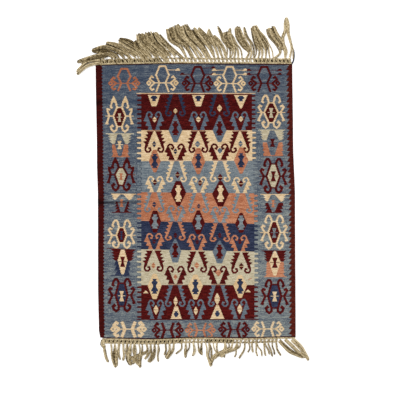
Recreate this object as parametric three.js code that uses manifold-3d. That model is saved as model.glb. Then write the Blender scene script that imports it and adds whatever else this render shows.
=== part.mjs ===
import * as THREE from 'three';
import { mergeVertices } from 'three/addons/utils/BufferGeometryUtils.js';
import Module from 'manifold-3d';

// A flat-woven wool rug lying open on a floor, with knotted warp ends and a fringe at both ends.
// Millimetres, +Z up. The origin is on the floor under the middle of the cloth, +X runs across
// the rug and +Y along its warps, towards the long fringe.

// The cloth.
const clothWidth = 1000;
const clothLength = 1400;
const clothThickness = 2.6;
const pieceGap = 0.3;

// How far each edge stands out of the plain rectangle, at places along it from -0.5 to 0.5.
const edgeSway = {
  left: [
    { at: -0.5, out: -10 },
    { at: -0.494, out: -3 },
    { at: -0.3, out: 1.5 },
    { at: 0, out: 2 },
    { at: 0.15, out: 7 },
    { at: 0.5, out: 14 },
  ],
  right: [
    { at: -0.5, out: 6 },
    { at: 0, out: 3 },
    { at: 0.22, out: -7 },
    { at: 0.5, out: -11 },
  ],
  far: [
    { at: -0.5, out: -6 },
    { at: -0.39, out: -2 },
    { at: -0.12, out: 3 },
    { at: 0.17, out: 1 },
    { at: 0.5, out: -1 },
  ],
  near: [
    { at: -0.5, out: -4 },
    { at: -0.46, out: 1 },
    { at: -0.24, out: 5 },
    { at: 0.02, out: -3 },
    { at: 0.21, out: 0 },
    { at: 0.5, out: -6 },
  ],
};

// Creases left by folding: low ridges, each along a bowed line, with its strength at both ends.
const creases = [
  { fromX: -505, fromY: -8, toX: -235, toY: -3, bow: 2, height: 5, halfWidth: 26, start: 1, end: 0 },
  { fromX: -60, fromY: -650, toX: 150, toY: -612, bow: 14, height: 4, halfWidth: 26, start: 0, end: 0 },
];
const gridColumns = 25;
const gridStepAlong = 175;
const rowsInHalfCrease = 3;
const cornerStep = 8;

// The knotted heading at each end: a band, a row of slits and a row of knots, held just off the
// floor by the strands that are knotted into it.
const heading = {
  knots: gridColumns * 2,
  depth: 31,
  thickness: 3,
  lift: 0.4,
  slitStart: 8,
  slitEnd: 20,
  slitWidth: 9,
  slitNarrowing: 3,
  slitLean: -3,
  slitUneven: 1.2,
  slitPhase: 2.4,
  knotDepth: 24,
  knotRadius: 5.4,
  knotTopRadius: 3.4,
  knotHeight: 6.4,
  knotSink: 1.4,
  knotSides: 6,
};

// The fringe. A row is one lock: its strands leave the heading between two places across the rug,
// gather where the lock passes its middle, and end side by side at its tip.
const strand = {
  rootWidth: 5,
  rootHeight: 4,
  rootInside: 1.4,
  fill: 0.8,
  tipTaper: 0.5,
  tipHeightTaper: 0.6,
  steps: 5,
  tipRounding: 0.4,
  mostRounding: 12,
};
const lockColumns = [
  'rootFrom', 'rootTo', 'strands',
  'middleX', 'middleY', 'middleSpread',
  'tipX', 'tipY', 'tipSpread', 'girth', 'height',
];
const farLocks = [
  [-474, -395, 6, -478, 767, 45, -531, 767, 28, 8, 7],
  [-386, -344, 5, -411, 778, 34, -457, 805, 18, 8, 7],
  [-335, -287, 5, -348, 793, 46, -389, 820, 28, 8, 8],
  [-276, -224, 6, -275, 797, 44, -291, 852, 26, 8, 8],
  [-215, -155, 6, -228, 802, 44, -266, 860, 29, 8, 8],
  [-146, -76, 6, -174, 804, 41, -222, 865, 31, 8, 8],
  [-55, -15, 5, -119, 812, 42, -142, 892, 30, 8, 8],
  [-7, 41, 6, -64, 821, 49, -90, 903, 37, 8, 8],
  [49, 93, 5, -4, 819, 44, -37, 893, 34, 8, 8],
  [101, 122, 3, 50, 813, 30, 12, 882, 15, 9, 7],
  [131, 153, 2, 88, 811, 23, 64, 882, 9, 9, 6],
  [161, 183, 2, 120, 813, 23, 110, 892, 9, 9, 6],
  [191, 233, 5, 169, 809, 43, 157, 880, 31, 8, 7],
  [255, 282, 4, 235, 815, 31, 209, 896, 22, 8, 7],
  [290, 290, 1, 266, 816, 10, 241, 888, 5, 10, 6],
  [300, 394, 8, 321, 814, 57, 291, 898, 29, 8, 8],
  [417, 465, 6, 410, 818, 46, 373, 895, 32, 8, 8],
  [471, 477, 2, 453, 831, 14, 452, 938, 15, 8, 7],
  [484, 490, 2, 472, 831, 14, 468, 937, 15, 8, 7],
];
const nearLocks = [
  [-467, -458, 2, -461, -782, 15, -449, -823, 5, 10, 5],
  [-432, -396, 4, -419, -783, 31, -413, -850, 18, 9, 7],
  [-385, -385, 1, -392, -773, 8, -386, -813, 4, 10, 4],
  [-365, -365, 1, -368, -773, 8, -376, -815, 10, 12, 5],
  [-345, -332, 2, -341, -786, 26, -334, -840, 24, 12, 7],
  [-304, -304, 1, -308, -783, 13, -308, -842, 18, 16, 7],
  [-278, -278, 1, -279, -780, 11, -289, -852, 14, 15, 7],
  [-254, -254, 1, -252, -773, 9, -263, -810, 8, 11, 5],
  [-243, -202, 4, -228, -777, 33, -250, -827, 20, 9, 7],
  [-190, -174, 2, -195, -778, 16, -194, -828, 10, 9, 6],
  [-155, -155, 1, -157, -763, 7, -165, -794, 9, 10, 4],
  [-133, -100, 4, -129, -766, 28, -151, -810, 21, 9, 6],
  [-74, -74, 1, -80, -759, 9, -106, -781, 9, 10, 5],
  [-55, -32, 3, -54, -762, 19, -56, -801, 9, 9, 6],
  [-16, 3, 2, -10, -759, 15, -19, -795, 8, 9, 5],
  [16, 39, 3, 26, -755, 23, 31, -782, 11, 9, 6],
  [50, 50, 1, 49, -752, 5, 46, -772, 5, 10, 4],
  [65, 101, 4, 73, -783, 33, 77, -848, 21, 9, 8],
  [111, 152, 4, 117, -773, 37, 113, -813, 31, 10, 8],
  [163, 203, 4, 164, -761, 38, 156, -794, 32, 10, 8],
  [213, 226, 2, 206, -762, 15, 196, -799, 11, 9, 6],
  [242, 242, 1, 237, -765, 9, 216, -804, 9, 10, 5],
  [274, 274, 1, 270, -751, 6, 260, -773, 5, 10, 4],
  [285, 285, 1, 286, -750, 6, 288, -772, 5, 10, 4],
  [301, 408, 7, 362, -758, 120, 370, -790, 133, 9, 5],
  [427, 503, 8, 502, -758, 59, 566, -813, 17, 9, 8],
];

// Two ropes leave the far heading at its left corner, so each strand has a root of its own.
const ropeColumns = [
  'rootX', 'rootY', 'middleX', 'middleY', 'middleWidth', 'tipX', 'tipY', 'tipWidth', 'height',
];
const cornerRopes = [
  [-508, 703, -557, 682, 6, -609, 637, 7, 8],
  [-508, 713, -556, 695, 6, -613, 651, 7, 8],
  [-508, 723, -552, 719, 6, -612, 700, 6, 7],
  [-498, 727, -547, 730, 6, -610, 711, 6, 7],
];

const wasm = await Module();
wasm.setup();

const rowsOf = (columns, table) =>
  table.map((row) => Object.fromEntries(columns.map((name, i) => [name, row[i]])));

// The value of a table at a place, eased from row to row.
function swayAt(rows, at) {
  const next = rows.findIndex((row) => row.at >= at);
  if (next <= 0) return rows[0].out;
  const before = rows[next - 1];
  const after = rows[next];
  const share = THREE.MathUtils.smoothstep(at, before.at, after.at);
  return THREE.MathUtils.lerp(before.out, after.out, share);
}

// The place in plan of a point of the cloth, whose across and along run from -0.5 to 0.5.
function clothPoint(across, along) {
  const left = -clothWidth / 2 - swayAt(edgeSway.left, along);
  const right = clothWidth / 2 + swayAt(edgeSway.right, along);
  const near = -clothLength / 2 - swayAt(edgeSway.near, across);
  const far = clothLength / 2 + swayAt(edgeSway.far, across);
  return new THREE.Vector2(
    THREE.MathUtils.lerp(left, right, across + 0.5),
    THREE.MathUtils.lerp(near, far, along + 0.5),
  );
}

// How far the cloth is lifted off the floor by its creases.
function liftAt(point) {
  let lift = 0;
  for (const crease of creases) {
    const share = (point.x - crease.fromX) / (crease.toX - crease.fromX);
    const held = THREE.MathUtils.clamp(share, 0, 1);
    const line = THREE.MathUtils.lerp(crease.fromY, crease.toY, held) + crease.bow * 4 * held * (1 - held);
    const off = Math.abs(point.y - line) / crease.halfWidth;
    const strength =
      held < 0.5
        ? THREE.MathUtils.lerp(crease.start, 1, THREE.MathUtils.smoothstep(held, 0, 0.5))
        : THREE.MathUtils.lerp(1, crease.end, THREE.MathUtils.smoothstep(held, 0.5, 1));
    if (off < 1) lift += crease.height * strength * Math.cos((off * Math.PI) / 2) ** 2;
  }
  return lift;
}

// The grid's places along the warps: an even step, closer rows over each crease and at the corners.
function stationsAlong() {
  const half = clothLength / 2;
  const places = [-half, -half + cornerStep, half];
  const bands = creases.map((crease) => {
    const middle = [crease.fromY, crease.toY, (crease.fromY + crease.toY) / 2 + crease.bow];
    const low = Math.min(...middle) - crease.halfWidth;
    const high = Math.max(...middle) + crease.halfWidth;
    const count = Math.ceil(((high - low) / crease.halfWidth) * rowsInHalfCrease);
    return { low, high, count };
  });
  for (const { low, high, count } of bands) {
    for (let i = 0; i <= count; i++) places.push(THREE.MathUtils.lerp(low, high, i / count));
  }
  const clear = (y) => bands.every(({ low, high }) => y < low - cornerStep || y > high + cornerStep);
  for (let y = -half + gridStepAlong; y < half; y += gridStepAlong) {
    if (clear(y)) places.push(y);
  }
  return places.sort((a, b) => a - b).map((y) => y / clothLength);
}

// The cloth: two like grids, one above the other, closed by a rim.
function clothGeometry() {
  const alongs = stationsAlong();
  const columns = gridColumns + 1;
  const layer = columns * alongs.length;
  const positions = [];
  for (const height of [0, clothThickness]) {
    for (const along of alongs) {
      for (let i = 0; i < columns; i++) {
        const point = clothPoint(i / gridColumns - 0.5, along);
        positions.push(point.x, point.y, liftAt(point) + height);
      }
    }
  }
  const faces = [];
  const quad = (a, b, c, d) => faces.push(a, b, c, a, c, d);
  for (let j = 0; j + 1 < alongs.length; j++) {
    for (let i = 0; i < gridColumns; i++) {
      const corner = j * columns + i;
      quad(corner, corner + columns, corner + columns + 1, corner + 1);
      quad(layer + corner, layer + corner + 1, layer + corner + columns + 1, layer + corner + columns);
    }
  }
  const rim = [];
  for (let i = 0; i < gridColumns; i++) rim.push(i);
  for (let j = 0; j + 1 < alongs.length; j++) rim.push(j * columns + gridColumns);
  for (let i = gridColumns; i > 0; i--) rim.push(layer - columns + i);
  for (let j = alongs.length - 1; j > 0; j--) rim.push(j * columns);
  rim.forEach((from, i) => {
    const to = rim[(i + 1) % rim.length];
    quad(from, to, layer + to, layer + from);
  });
  return closedGeometry(positions, faces);
}

function closedGeometry(positions, faces) {
  const geometry = new THREE.BufferGeometry();
  geometry.setAttribute('position', new THREE.Float32BufferAttribute(positions, 3));
  geometry.setIndex(faces);
  return geometry;
}

// A point of a heading: a share across the rug and a distance out from the cloth's edge, which
// runs straight from one column of its grid to the next.
function headingPoint(side, across, out) {
  const place = (across + 0.5) * gridColumns;
  const column = THREE.MathUtils.clamp(Math.floor(place), 0, gridColumns - 1);
  const from = clothPoint(column / gridColumns - 0.5, side / 2);
  const to = clothPoint((column + 1) / gridColumns - 0.5, side / 2);
  const edge = from.lerp(to, place - column);
  return new THREE.Vector2(edge.x, edge.y + side * (pieceGap + out));
}

// The flat strip of a heading with its slits cut through, and a knot standing between each two.
function headingSolids(side) {
  const counterclockwise = (points) => (side > 0 ? points : points.reverse());
  const outline = [];
  for (let i = 0; i <= gridColumns; i++) outline.push(headingPoint(side, i / gridColumns - 0.5, 0));
  for (let i = gridColumns; i >= 0; i--) {
    outline.push(headingPoint(side, i / gridColumns - 0.5, heading.depth));
  }
  const shape = new THREE.Shape(counterclockwise(outline));
  for (let i = 1; i < heading.knots; i++) {
    const middle = i / heading.knots - 0.5;
    const wide = heading.slitWidth / 2 / clothWidth;
    const narrow = (heading.slitWidth - heading.slitNarrowing) / 2 / clothWidth;
    const lean = heading.slitLean / clothWidth;
    const start = heading.slitStart + heading.slitUneven * Math.sin(i * heading.slitPhase);
    const end = heading.slitEnd + heading.slitUneven * Math.cos(i * heading.slitPhase);
    const slit = [
      headingPoint(side, middle - wide, start),
      headingPoint(side, middle + wide, start),
      headingPoint(side, middle + lean + narrow, end),
      headingPoint(side, middle + lean - narrow, end),
    ];
    shape.holes.push(new THREE.Path(counterclockwise(slit)));
  }
  const strip = new THREE.ExtrudeGeometry(shape, { depth: heading.thickness, bevelEnabled: false });
  strip.translate(0, 0, heading.lift);
  const solids = [strip];
  const height = heading.knotHeight - heading.knotSink;
  for (let i = 0; i < heading.knots; i++) {
    const place = headingPoint(side, (i + 0.5) / heading.knots - 0.5, heading.knotDepth);
    const knot = new THREE.CylinderGeometry(
      heading.knotTopRadius, heading.knotRadius, height, heading.knotSides,
    );
    knot.rotateX(Math.PI / 2);
    knot.translate(place.x, place.y, heading.knotSink + height / 2);
    solids.push(knot);
  }
  return solids;
}

// One strand lying on the floor: a ridge of three sides along a curve through three places.
function strandGeometry(root, middle, tip, widths, height) {
  const control = middle.clone().multiplyScalar(2).sub(root.clone().add(tip).multiplyScalar(0.5));
  const path = new THREE.QuadraticBezierCurve(root, control, tip);
  const positions = [];
  const faces = [];
  for (let i = 0; i <= strand.steps; i++) {
    const share = i / strand.steps;
    const place = path.getPoint(share);
    const tangent = path.getTangent(share);
    const late = Math.max(0, share * 2 - 1);
    const early = Math.min(1, share * 2);
    const spread = THREE.MathUtils.lerp(widths.root, widths.middle, early);
    let width = late > 0 ? THREE.MathUtils.lerp(widths.middle, widths.tip, late) : spread;
    let top = THREE.MathUtils.lerp(strand.rootHeight, height, early);
    if (i === strand.steps) {
      width *= strand.tipTaper;
      top *= strand.tipHeightTaper;
    }
    const sideX = (-tangent.y * width) / 2;
    const sideY = (tangent.x * width) / 2;
    positions.push(place.x + sideX, place.y + sideY, 0);
    positions.push(place.x - sideX, place.y - sideY, 0);
    positions.push(place.x, place.y, top);
    if (i === 0) continue;
    const ring = i * 3;
    for (let k = 0; k < 3; k++) {
      const next = (k + 1) % 3;
      faces.push(ring - 3 + k, ring + next, ring - 3 + next);
      faces.push(ring - 3 + k, ring + k, ring + next);
    }
  }
  const last = strand.steps * 3;
  faces.push(0, 1, 2, last, last + 2, last + 1);
  return closedGeometry(positions, faces);
}

// The strands of one lock, side by side and clear of each other from the heading outwards.
function lockGeometries(side, lock) {
  const heads = new THREE.Vector2(lock.tipX - lock.middleX, lock.tipY - lock.middleY).normalize();
  const across = new THREE.Vector2(heads.y, -heads.x).multiplyScalar(side);
  const rounding = Math.min(lock.tipSpread * strand.tipRounding, strand.mostRounding);
  const widths = {
    root: strand.rootWidth,
    middle: Math.min(lock.girth, (lock.middleSpread / lock.strands) * strand.fill),
    tip: Math.min(lock.girth, (lock.tipSpread / lock.strands) * strand.fill),
  };
  const solids = [];
  for (let i = 0; i < lock.strands; i++) {
    const share = (i + 0.5) / lock.strands - 0.5;
    const rootShare = lock.strands > 1 ? i / (lock.strands - 1) : 0.5;
    const rootX = THREE.MathUtils.lerp(lock.rootFrom, lock.rootTo, rootShare);
    const root = headingPoint(side, rootX / clothWidth, heading.depth - strand.rootInside);
    root.x = rootX;
    const middle = new THREE.Vector2(lock.middleX, lock.middleY);
    middle.addScaledVector(across, share * lock.middleSpread);
    const tip = new THREE.Vector2(lock.tipX, lock.tipY);
    tip.addScaledVector(across, share * lock.tipSpread);
    if (lock.strands > 1) tip.addScaledVector(heads, -rounding * (2 * share) ** 2);
    solids.push(strandGeometry(root, middle, tip, widths, lock.height));
  }
  return solids;
}

function ropeGeometry(rope) {
  const widths = { root: strand.rootWidth, middle: rope.middleWidth, tip: rope.tipWidth };
  return strandGeometry(
    new THREE.Vector2(rope.rootX, rope.rootY),
    new THREE.Vector2(rope.middleX, rope.middleY),
    new THREE.Vector2(rope.tipX, rope.tipY),
    widths,
    rope.height,
  );
}

// One closed body out of solids that run into each other.
function joined(geometries) {
  const solids = geometries.map((geometry) => {
    geometry.deleteAttribute('normal');
    geometry.deleteAttribute('uv');
    const merged = mergeVertices(geometry, 1e-3);
    return new wasm.Manifold(
      new wasm.Mesh({
        numProp: 3,
        vertProperties: merged.attributes.position.array,
        triVerts: new Uint32Array(merged.index.array),
      }),
    );
  });
  const mesh = solids.reduce((sum, solid) => sum.add(solid)).getMesh();
  return closedGeometry(Array.from(mesh.vertProperties), Array.from(mesh.triVerts));
}

function fringeGeometry(side, locks, ropes) {
  const strands = rowsOf(lockColumns, locks).flatMap((lock) => lockGeometries(side, lock));
  const loose = rowsOf(ropeColumns, ropes).map(ropeGeometry);
  return joined([...headingSolids(side), ...strands, ...loose]);
}

function piece(name, geometry, colour) {
  const material = new THREE.MeshStandardMaterial({ color: colour, roughness: 0.95, metalness: 0 });
  const mesh = new THREE.Mesh(geometry, material);
  mesh.name = name;
  return mesh;
}

const rug = new THREE.Group();
rug.add(
  piece('woven_body', clothGeometry(), 0x5b6f86),
  piece('fringe_top', fringeGeometry(1, farLocks, cornerRopes), 0xb5a27e),
  piece('fringe_bottom', fringeGeometry(-1, nearLocks, []), 0xb5a27e),
);

export default rug;
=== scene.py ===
# A flat-woven wool kilim with knotted fringes, laid on a pale floor and seen from straight above.
# The pattern and the yarns are worked out in millimetres in the rug's own frame: x across the rug,
# y along the warps towards the long fringe, the origin on the floor under the middle of the cloth.
import bpy
import math
import random
from functools import partial
import numpy as np
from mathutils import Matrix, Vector, noise
from mathutils.geometry import delaunay_2d_cdt


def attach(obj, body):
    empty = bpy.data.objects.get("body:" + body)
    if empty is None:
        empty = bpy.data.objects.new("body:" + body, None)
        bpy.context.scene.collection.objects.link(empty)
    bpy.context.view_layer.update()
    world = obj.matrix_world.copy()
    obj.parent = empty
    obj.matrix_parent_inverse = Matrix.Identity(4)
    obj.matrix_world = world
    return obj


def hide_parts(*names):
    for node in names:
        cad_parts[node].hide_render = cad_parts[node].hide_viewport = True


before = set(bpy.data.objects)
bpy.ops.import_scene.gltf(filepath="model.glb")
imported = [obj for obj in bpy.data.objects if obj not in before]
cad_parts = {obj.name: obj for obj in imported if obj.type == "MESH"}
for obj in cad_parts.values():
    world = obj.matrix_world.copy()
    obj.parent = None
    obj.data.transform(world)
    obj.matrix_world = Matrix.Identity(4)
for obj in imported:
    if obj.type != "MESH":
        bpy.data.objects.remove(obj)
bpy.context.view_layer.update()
mm = 0.001


# Camera, floor and light

shot = {
    "height": 5.0,          # metres above the floor
    "frameWidth": 2.04,     # metres of floor that the picture spans
    "sensor": 36.0,
    "aimX": 18.4 * mm,
    "aimY": 5.1 * mm,
}

studio = {
    "floorSize": 14.0,
    "floorDrop": 0.4 * mm,  # keeps the floor clear of the rug's underside
    "floorColour": "#FBFBFA",
    "mottleColour": "#FFFFFF",
    "floorGlow": 0.3,      # light of its own, so that the shadows between the cords stay faint
    "worldColour": "#FFFFFF",
    "worldStrength": 0.66,
    "keyPower": 720.0,
    "keySize": 3.8,
    "keyAt": (-4.4, 5.2, 9.4),
}


def toLinear(hexColour):
    channels = [int(hexColour[i:i + 2], 16) / 255 for i in (1, 3, 5)]
    return [c / 12.92 if c <= 0.04045 else ((c + 0.055) / 1.055) ** 2.4 for c in channels] + [1.0]


def addNode(tree, kind, settings=None, links=None):
    # a setting is a property of the node, or else the value of one of its sockets
    node = tree.nodes.new("ShaderNode" + kind)
    for name, value in (settings or {}).items():
        if isinstance(name, str) and hasattr(node, name):
            setattr(node, name, value)
        else:
            node.inputs[name].default_value = value
    for name, source in (links or {}).items():
        tree.links.new(source, node.inputs[name])
    return node


def newMaterial(name):
    # a material with no nodes yet, and the function that adds one to it
    material = bpy.data.materials.new(name)
    material.use_nodes = True
    material.node_tree.nodes.clear()
    return material, partial(addNode, material.node_tree)


def finishMaterial(add, settings, links):
    shader = add("BsdfPrincipled", settings, links)
    add("OutputMaterial", links={"Surface": shader.outputs[0]})


def setStops(ramp, ends, between=()):
    # the colours at both ends of a ramp, then pairs of a place between them and its colour
    stops = ramp.color_ramp.elements
    for stop, colour in zip(stops, ends):
        stop.color = toLinear(colour)
    for place, colour in between:
        stops.new(place).color = toLinear(colour)


def linked(name, data):
    thing = bpy.data.objects.new(name, data)
    bpy.context.scene.collection.objects.link(thing)
    return thing


def makeCamera():
    data = bpy.data.cameras.new("overheadCamera")
    data.sensor_width = shot["sensor"]
    data.lens = shot["sensor"] * shot["height"] / shot["frameWidth"]
    camera = linked("overheadCamera", data)
    camera.location = (shot["aimX"], shot["aimY"], shot["height"])
    bpy.context.scene.camera = camera


def makeStudio():
    half = studio["floorSize"] / 2
    drop = -studio["floorDrop"]
    mesh = bpy.data.meshes.new("studioFloor")
    corners = [(-half, -half, drop), (half, -half, drop), (half, half, drop), (-half, half, drop)]
    mesh.from_pydata(corners, [], [(0, 1, 2, 3)])
    floor = linked("studioFloor", mesh)

    # Matt emulsion paint, rolled: an even pale ground with the faintest mottle.
    material, add = newMaterial("rolledEmulsionPaint")
    place = add("TexCoord")
    mottle = add("TexNoise", {"Scale": 3.0}, {"Vector": place.outputs["Object"]})
    tint = add("Mix", {
        "data_type": "RGBA", 6: toLinear(studio["floorColour"]), 7: toLinear(studio["mottleColour"]),
    }, {0: mottle.outputs["Fac"]})
    finishMaterial(add, {
        "Roughness": 0.9, "Emission Color": toLinear("#FFFFFF"), "Emission Strength": studio["floorGlow"],
    }, {"Base Color": tint.outputs[2]})
    mesh.materials.append(material)

    data = bpy.data.lights.new("softKey", "AREA")
    data.energy = studio["keyPower"]
    data.size = studio["keySize"]
    key = linked("softKey", data)
    key.location = studio["keyAt"]
    key.rotation_mode = "QUATERNION"
    key.rotation_quaternion = (-Vector(studio["keyAt"])).to_track_quat("-Z", "Y")

    world = bpy.data.worlds.new("paleRoom")
    world.use_nodes = True
    background = world.node_tree.nodes["Background"]
    background.inputs["Color"].default_value = toLinear(studio["worldColour"])
    background.inputs["Strength"].default_value = studio["worldStrength"]
    bpy.context.scene.world = world
    bpy.context.scene.view_settings.view_transform = "Standard"


makeCamera()
makeStudio()
print("camera, floor and light made")


# The cloth's own shape, as in the frame

cloth = {
    "width": 1000,
    "length": 1400,
    "thickness": 2.6,
    "pieceGap": 0.3,
    # how far each edge stands out, at shares of the way along it
    "left": [(-0.5, -10), (-0.494, -3), (-0.3, 1.5), (0, 2), (0.15, 7), (0.5, 14)],
    "right": [(-0.5, 6), (0, 3), (0.22, -7), (0.5, -11)],
    "far": [(-0.5, -6), (-0.39, -2), (-0.12, 3), (0.17, 1), (0.5, -1)],
    "near": [(-0.5, -4), (-0.46, 1), (-0.24, 5), (0.02, -3), (0.21, 0), (0.5, -6)],
}

# A crease: the ends of its line, how far that bows, its height, half its width and its strength at
# both ends. It is at full strength half way.
creases = [
    {"from": (-505, -8), "to": (-235, -3), "bow": 2, "height": 5, "half": 26, "start": 1, "end": 0},
    {"from": (-60, -650), "to": (150, -612), "bow": 14, "height": 4, "half": 26, "start": 0, "end": 0},
]

# Painted shade along the creases and at the left edge, given in the same way; its strength runs evenly
# from end to end.
creaseShades = [
    {"from": (-512, -11), "to": (-235, -4), "bow": 2, "half": 6, "start": 1.0, "end": 0.1},
    {"from": (-512, -2), "to": (-440, -2), "bow": 0, "half": 18, "start": 0.9, "end": 0.0},
    {"from": (-512, 498), "to": (-455, 506), "bow": 0, "half": 16, "start": 0.9, "end": 0.0},
    {"from": (-60, -652), "to": (150, -614), "bow": 14, "half": 4, "start": 0.5, "end": 0.1},
]


def lerp(a, b, share):
    return a + (b - a) * share


def smooth(value, low, high):
    share = min(max((value - low) / (high - low), 0), 1)
    return share * share * (3 - 2 * share)


def swayAt(rows, at):
    for (before, outBefore), (after, outAfter) in zip(rows, rows[1:]):
        if at <= after:
            return lerp(outBefore, outAfter, smooth(at, before, after))
    return rows[-1][1]


def clothPoint(across, along):
    left = -cloth["width"] / 2 - swayAt(cloth["left"], along)
    right = cloth["width"] / 2 + swayAt(cloth["right"], along)
    near = -cloth["length"] / 2 - swayAt(cloth["near"], across)
    far = cloth["length"] / 2 + swayAt(cloth["far"], across)
    return lerp(left, right, across + 0.5), lerp(near, far, along + 0.5)


def lineOf(row, x):
    # how far along a crease x lies, and the y of the crease's line there
    (fromX, fromY), (toX, toY) = row["from"], row["to"]
    held = (x - fromX) / (toX - fromX)
    inside = min(max(held, 0), 1)
    return held, lerp(fromY, toY, inside) + row["bow"] * 4 * inside * (1 - inside)


def shareOf(value, size):
    # a place on the cloth as clothPoint counts it, kept on the cloth
    return min(max(value / cloth[size], -0.5), 0.5)


def liftAt(x, y):
    lift = 0
    for crease in creases:
        held, line = lineOf(crease, x)
        off = abs(y - line) / crease["half"]
        if held < 0.5:
            strength = lerp(crease["start"], 1, smooth(held, 0, 0.5))
        else:
            strength = lerp(1, crease["end"], smooth(held, 0.5, 1))
        if off < 1:
            lift += crease["height"] * strength * math.cos(off * math.pi / 2) ** 2
    return lift


# painted shade: how far the creases darken the wool at a place
def creaseShadeAt(x, y):
    shade = 0
    for fold in creaseShades:
        held, line = lineOf(fold, x)
        if 0 <= held <= 1:
            strength = lerp(fold["start"], fold["end"], held)
            shade = max(shade, strength * math.exp(-((y - line) / fold["half"]) ** 2))
    return shade


# The pattern: polygons of one yarn each, laid on top of each other in the weaver's order

ink = []  # pairs of a yarn's name and the polygon that it fills


def lay(yarn, points):
    ink.append((yarn, points))


def placer(x, y, scaleX=1.0, scaleY=1.0):
    # a function that puts a motif's own points on the rug
    return lambda points: [(x + px * scaleX, y + py * scaleY) for px, py in points]


def twin(points):
    return [points, [(-x, y) for x, y in reversed(points)]]


def barOutline(fromX, toX, y, width):
    return [(fromX, y - width / 2), (toX, y - width / 2), (toX, y + width / 2), (fromX, y + width / 2)]


def sideBar(side, start, end, y, width):
    # a bar on one side of a motif, from start to end as counted from its middle
    return barOutline(*sorted((side * start, side * end)), y, width)


def tapered(x, y, wide, narrow, tall):
    return [(x - wide, y), (x + wide, y), (x + narrow, y + tall), (x - narrow, y + tall)]


def profileOutline(rows):
    # a shape that is alike on both sides, given as rows of height and half width
    return [(half, y) for y, half in rows] + [(-half, y) for y, half in reversed(rows)]


def strokeOutline(path, width):
    # a line of even width along a path, with mitred corners
    left, right = [], []
    last = len(path) - 1
    for i, (x, y) in enumerate(path):
        comingX, comingY = unit(path[max(i - 1, 0)], path[max(i, 1)])
        goingX, goingY = unit(path[min(i, last - 1)], path[min(i + 1, last)])
        normalX, normalY = -(comingY + goingY), comingX + goingX
        size = math.hypot(normalX, normalY)
        reach = width / 2 / max(size / 2, 0.5) / max(size, 1e-6)
        left.append((x + normalX * reach, y + normalY * reach))
        right.append((x - normalX * reach, y - normalY * reach))
    return left + right[::-1]


def unit(a, b):
    size = math.hypot(b[0] - a[0], b[1] - a[1]) or 1
    return (b[0] - a[0]) / size, (b[1] - a[1]) / size


# Hooks that hang from the top of a band, and hooks that rise from its base

hangingHook = {
    "arm": [(4, 0), (41, 0), (32, -14), (47, -18), (34, -32), (53, -37), (39, -50), (59, -54),
            (46, -66), (51, -84), (44, -90), (36, -86), (29, -62)],
    "curl": [(46, -84), (46, -98), (39, -108), (28, -108), (19, -99), (22, -88), (32, -89)],
    "stroke": 9.6,
    "up": -1,
}

slimHangingHook = {
    "arm": [(12, 0), (37, 0), (30, -16), (44, -23), (33, -37), (49, -42), (37, -57), (56, -61),
            (45, -73), (53, -88), (45, -95), (39, -88)],
    "curl": [(48, -86), (49, -98), (41, -108), (30, -108), (21, -98), (24, -89), (33, -91)],
    "stroke": 7.6,
    "up": -1,
}

risingHook = {
    "arm": [(5, 0), (39, 0), (33, 19), (49, 22), (43, 39), (58, 44), (47, 70), (35, 73), (28, 60)],
    "curl": [(42, 64), (40, 78), (31, 87), (20, 85), (11, 72), (16, 61), (25, 66)],
    "stroke": 9.6,
    "up": 1,
}

slimRisingHook = {
    "arm": [(7, 0), (31, 0), (26, 18), (43, 22), (34, 39), (52, 44), (42, 68), (33, 71), (27, 60)],
    "curl": [(38, 63), (36, 78), (28, 88), (18, 87), (9, 75), (13, 63), (21, 67)],
    "stroke": 7.6,
    "up": 1,
}


def layHook(hook, yarn, put):
    for arm in twin(hook["arm"]):
        lay(yarn, put(arm))
    for path in twin(hook["curl"]):
        lay(yarn, strokeOutline(put(path), hook["stroke"]))


# The small eye between a pair of hooks: a lozenge, as a share of its half sizes, and a thin line
eyeShape = profileOutline([(1, 0.1), (0.22, 1), (-0.22, 1), (-1, 0.1)])
eyeLine = 2.6

# The motif inside a hexagon, two axe heads on one shaft, and how far above the middle it sits
axeLift = 2
axeShape = profileOutline([
    (37, 10), (32, 10), (28, 6), (22, 15), (17, 16), (5, 8), (-5, 8), (-19, 17), (-26, 18), (-29, 7),
    (-33, 12), (-39, 13),
])


def layEye(yarn, lineYarn, x, y, half, tall):
    lay(yarn, placer(x, y, half, tall)(eyeShape))
    lay(lineYarn, barOutline(x - half, x + half, y, eyeLine))


def layHexagon(yarn, axeYarn, axeSize, x, top, wide, bottom, half, topHalf, bottomHalf):
    lay(yarn, [(x - topHalf, top), (x + topHalf, top), (x + half, wide), (x + bottomHalf, bottom),
               (x - bottomHalf, bottom), (x - half, wide)])
    lay(axeYarn, placer(x, (top + bottom) / 2 + axeLift, 1, axeSize)(axeShape))


# The field: seven bands of colour with a comb of fingers at both sides

field = {
    "left": -281,
    "right": 280,
    "fingerLeft": -305,
    "fingerRight": 301,
    "fingerPitch": 24.5,
    "fingerWidth": 10,
    "fingerRoot": 2,       # mm that a finger starts inside its band
    "fingerPoint": 6,      # length of its pointed end
    "fingerFrom": 0.45,    # where the first one lies, in pitches from the band's top
    "slitWidth": 2.6,
    "widening": (3, 5, 10, 14, 16, 16, 16),  # mm that each band reaches further at the right
}

# A band: its yarn, then its top edge at the left and the right end. The last row is the field's base.
bands = [
    ("maroon", 547, 546),
    ("ivory", 361, 360),
    ("greyBlue", 203, 205),
    ("orange", 45, 39),
    ("navy", -101, -117),
    ("sage", -246, -258),
    ("maroon", -428, -428),
    (None, -605, -600),
]

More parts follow.
